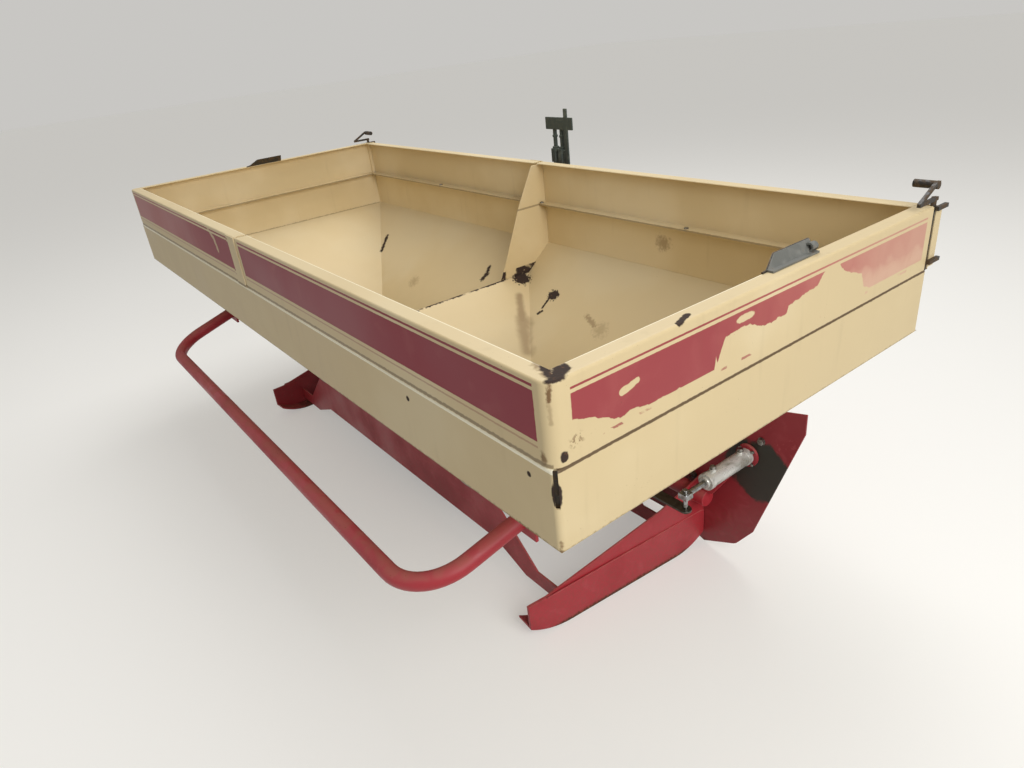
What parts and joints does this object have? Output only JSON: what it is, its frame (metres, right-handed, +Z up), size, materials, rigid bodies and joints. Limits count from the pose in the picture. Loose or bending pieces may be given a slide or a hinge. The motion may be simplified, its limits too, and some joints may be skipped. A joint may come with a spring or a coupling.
{
  "type": "mounted twin-disc fertilizer spreader",
  "caption": "Low wide sheet-metal hopper with funnels that feed spinning spreading discs, on a runner frame for a tractor's three-point hitch.",
  "frame": {"origin": "on the ground under the runners, below the middle of the hopper", "axes": "+Z up, +Y forward to the tractor, +X to the machine's right, along the hopper"},
  "size_m": [2.7686, 1.3865, 1.188],
  "materials": {
    "hopper_paint": "satin, weathered",
    "frame_paint": "satin, weathered",
    "dark_bracket": "matt grey, scuffed",
    "rack_paint": "matt, dirty",
    "bright_steel": "bright, greasy",
    "stainless": "dull, scratched",
    "gear_casting": "painted, dusty",
    "chrome_rod": "polished",
    "cylinder_paint": "bright, smooth",
    "black_plastic": "matt"
  },
  "bodies": {
    "frame": {"bow_hanger_left": "frame_paint", "bow_hanger_right": "frame_paint", "centre_gearbox": "gear_casting", "corner_latch_left": "dark_bracket", "corner_latch_right": "dark_bracket", "cross_beam": "frame_paint", "cylinder_left": "cylinder_paint", "cylinder_lug_left": "frame_paint", "cylinder_lug_right": "frame_paint", "cylinder_right": "cylinder_paint", "cylinder_rod_left": "chrome_rod", "cylinder_rod_right": "chrome_rod", "disc_gearbox_left": "gear_casting", "disc_gearbox_right": "gear_casting", "drive_tube_left": "frame_paint", "drive_tube_right": "frame_paint", "end_bracket_left": "dark_bracket", "end_bracket_right": "dark_bracket", "front_panel_left": "hopper_paint", "front_panel_right": "hopper_paint", "front_shield": "frame_paint", "front_tube": "frame_paint", "funnel_left": "hopper_paint", "funnel_right": "hopper_paint", "guard_bow": "frame_paint", "gusset_front": "hopper_paint", "gusset_rear": "hopper_paint", "head_frame": "frame_paint", "hopper_band": "hopper_paint", "hose_couplings": "bright_steel", "hose_rack": "rack_paint", "lower_link_left": "frame_paint", "lower_link_right": "frame_paint", "outlet_left": "stainless", "outlet_right": "stainless", "pto_guard": "black_plastic", "ring_left": "hopper_paint", "ring_right": "hopper_paint", "seam_strip_front": "hopper_paint", "seam_strip_rear": "hopper_paint", "shutter_left": "stainless", "shutter_right": "stainless", "side_frame_left": "frame_paint", "side_frame_right": "frame_paint", "top_link_mast": "frame_paint"},
    "spinner_left": {"disc_left": "stainless", "agitator_left": "stainless"},
    "spinner_right": {"disc_right": "stainless", "agitator_right": "stainless"},
    "input_shaft": {"pto_shaft": "bright_steel"}
  },
  "joints": [
    {"name": "disc_right_spin", "type": "hinge", "parent": "frame", "child": "spinner_right", "pos_m": [0.52, 0, 0.262], "axis": [0, 0, 1], "continuous": true},
    {"name": "disc_left_spin", "type": "hinge", "parent": "frame", "child": "spinner_left", "pos_m": [-0.52, 0, 0.262], "axis": [0, 0, 1], "continuous": true},
    {"name": "input_spin", "type": "hinge", "parent": "frame", "child": "input_shaft", "pos_m": [0, 0.455, 0.14], "axis": [0, 1, 0], "continuous": true}
  ],
  "couplings": [
    {"joint": "disc_left_spin", "follows": "disc_right_spin", "ratio": -1},
    {"joint": "input_spin", "follows": "disc_right_spin", "ratio": 0.7143}
  ]
}
